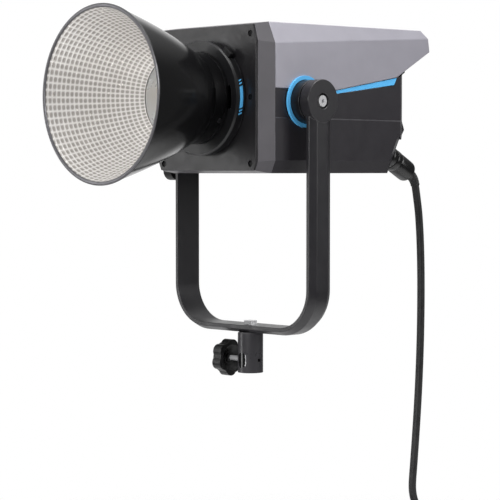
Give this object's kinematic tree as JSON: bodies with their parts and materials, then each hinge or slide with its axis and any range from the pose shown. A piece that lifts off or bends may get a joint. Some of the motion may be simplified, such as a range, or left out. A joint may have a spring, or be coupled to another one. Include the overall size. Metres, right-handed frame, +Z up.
{
  "type": "studio spotlight",
  "caption": "LED studio spotlight head with a bayonet-mounted faceted reflector, hung in a U-shaped tilt yoke with a socket for a stand stud.",
  "frame": {"origin": "centre of the stand socket's mouth, under the yoke", "axes": "+Z up along the socket, the lamp shines along -Y, +X is the side with the pivot screw"},
  "size_m": [0.2573, 0.5128, 0.79],
  "materials": {
    "yoke_paint": "fine satin powder coat over aluminium",
    "socket_black": "satin black coat",
    "insert_black": "matt moulding",
    "zinc_steel": "bright zinc plate",
    "fibre": "matt fibre",
    "brass_tip": "turned",
    "bright_steel": "turned bright steel",
    "black_moulding": "fine moulded grain",
    "hub_black": "satin black",
    "blue_trim": "satin blue",
    "plate_black": "satin black, fine texture",
    "black_screw": "black oxide",
    "bezel_grey": "fine moulded grain",
    "silver_paint": "metallic grey lacquer",
    "housing_dark": "fine moulded grain",
    "panel_black": "fine moulded grain",
    "display_glass": "glossy window",
    "board_green": "solder mask",
    "sheet_aluminium": "mill finish",
    "led_phosphor": "phosphor under clear resin",
    "white_moulding": "white diffuse",
    "cover_glass": "frosted glass",
    "copper": "copper",
    "fan_black": "moulded",
    "knob_black": "soft touch",
    "button_grey": "moulded rubber",
    "switch_red": "glossy",
    "socket_metal": "nickel plate",
    "connector_black": "moulded",
    "boot_rubber": "ribbed rubber",
    "flange_metal": "turned aluminium",
    "bell_black": "satin black paint over spun aluminium",
    "mirror_silver": "bright faceted aluminium",
    "lead_rubber": "smooth rubber sheath",
    "tie_fabric": "woven hook-and-loop tape"
  },
  "bodies": {
    "yoke": {"yoke_bracket": "yoke_paint", "stand_receiver": "socket_black", "receiver_insert": "insert_black", "receiver_bolt": "zinc_steel", "friction_washers": "fibre"},
    "clamp_tip": {"clamp_tip": "brass_tip"},
    "clamp_knob": {"clamp_knob": "black_moulding", "clamp_screw": "bright_steel"},
    "tilt_lever": {"tilt_lever": "black_moulding", "tilt_lever_screw": "bright_steel"},
    "release_lever": {"release_lever": "black_moulding"},
    "fan_rotor": {"fan_rotor": "fan_black"},
    "dimmer_knob": {"dimmer_knob": "knob_black"},
    "mode_knob": {"mode_knob": "knob_black"},
    "menu_button": {"menu_button": "button_grey"},
    "back_button": {"back_button": "button_grey"},
    "light_button": {"light_button": "button_grey"},
    "power_switch": {"power_switch": "switch_red"},
    "reflector": {"reflector_flange": "flange_metal", "reflector_rivets": "flange_metal", "reflector_shell": "bell_black", "reflector_liner": "mirror_silver", "reflector_rim": "mirror_silver"},
    "lead": {"cord_run": "lead_rubber", "cord_coil": "lead_rubber", "coil_tie": "tie_fabric", "cord_tail": "lead_rubber", "mains_plug": "connector_black"},
    "head": {"pivot_screw": "bright_steel", "pivot_hubs": "hub_black", "pivot_accent_rings": "blue_trim", "front_plate": "plate_black", "front_plate_screws": "black_screw", "front_bezel": "bezel_grey", "top_cover": "silver_paint", "accent_stripes": "blue_trim", "lower_housing": "housing_dark", "rear_panel": "panel_black", "socket_plate": "panel_black", "rear_panel_screws": "black_screw", "display_window": "display_glass", "control_board": "board_green", "inner_chassis": "sheet_aluminium", "bayonet_ring": "hub_black", "bayonet_marks": "blue_trim", "cob_led": "led_phosphor", "cob_holder": "white_moulding", "mixing_cup": "white_moulding", "protective_glass": "cover_glass", "heat_sink": "sheet_aluminium", "heat_pipes": "copper", "fan_frame": "fan_black", "driver_board": "board_green", "power_supply": "board_green", "switch_frame": "panel_black", "dmx_sockets": "socket_metal", "usb_port": "socket_metal", "power_inlet": "connector_black", "head_plug": "connector_black", "strain_relief": "boot_rubber"}
  },
  "joints": [
    {"name": "head_tilt", "type": "hinge", "parent": "yoke", "child": "head", "pos_m": [0, 0, 0.316], "axis": [1, 0, 0], "range_deg": [-45, 60]},
    {"name": "tilt_lever_turn", "type": "hinge", "parent": "yoke", "child": "tilt_lever", "pos_m": [-0.118, 0, 0.316], "axis": [1, 0, 0], "range_deg": [0, 75]},
    {"name": "clamp_feed", "type": "slide", "parent": "yoke", "child": "clamp_tip", "axis": [1, 0, 0], "range_m": [0, 0.00255]},
    {"name": "clamp_turn", "type": "hinge", "parent": "clamp_tip", "child": "clamp_knob", "pos_m": [-0.03, 0, 0.015], "axis": [1, 0, 0], "range_deg": [0, 720]},
    {"name": "reflector_twist", "type": "hinge", "parent": "head", "child": "reflector", "pos_m": [0, -0.085, 0.32], "axis": [0, 1, 0], "range_deg": [-30, 0]},
    {"name": "release_slide", "type": "slide", "parent": "head", "child": "release_lever", "axis": [0, 1, 0], "range_m": [0, 0.004], "stiffness_N_per_m": 400, "springref_m": -0.001},
    {"name": "fan_spin", "type": "hinge", "parent": "head", "child": "fan_rotor", "pos_m": [0, 0.02, 0.32], "axis": [0, 1, 0], "continuous": true},
    {"name": "dimmer_turn", "type": "hinge", "parent": "head", "child": "dimmer_knob", "pos_m": [-0.06, 0.1805, 0.371], "axis": [0, 1, 0], "continuous": true},
    {"name": "mode_turn", "type": "hinge", "parent": "head", "child": "mode_knob", "pos_m": [0.06, 0.1805, 0.371], "axis": [0, 1, 0], "continuous": true},
    {"name": "menu_press", "type": "slide", "parent": "head", "child": "menu_button", "axis": [0, -1, 0], "range_m": [0, 0.001], "stiffness_N_per_m": 300, "springref_m": -0.0005},
    {"name": "back_press", "type": "slide", "parent": "head", "child": "back_button", "axis": [0, -1, 0], "range_m": [0, 0.001], "stiffness_N_per_m": 300, "springref_m": -0.0005},
    {"name": "light_press", "type": "slide", "parent": "head", "child": "light_button", "axis": [0, -1, 0], "range_m": [0, 0.001], "stiffness_N_per_m": 300, "springref_m": -0.0005},
    {"name": "power_rock", "type": "hinge", "parent": "head", "child": "power_switch", "pos_m": [-0.02, 0.1617, 0.25641], "axis": [1, 0, 0], "range_deg": [-16, 0]},
    {"name": "lead_hang", "type": "hinge", "parent": "head", "child": "lead", "pos_m": [0.06, 0.22824, 0.21395], "axis": [1, 0, 0], "range_deg": [-60, 45]}
  ],
  "couplings": [
    {"joint": "clamp_feed", "follows": "clamp_turn", "m_per_rad": 0.00019894},
    {"joint": "lead_hang", "follows": "head_tilt", "ratio": -1}
  ]
}
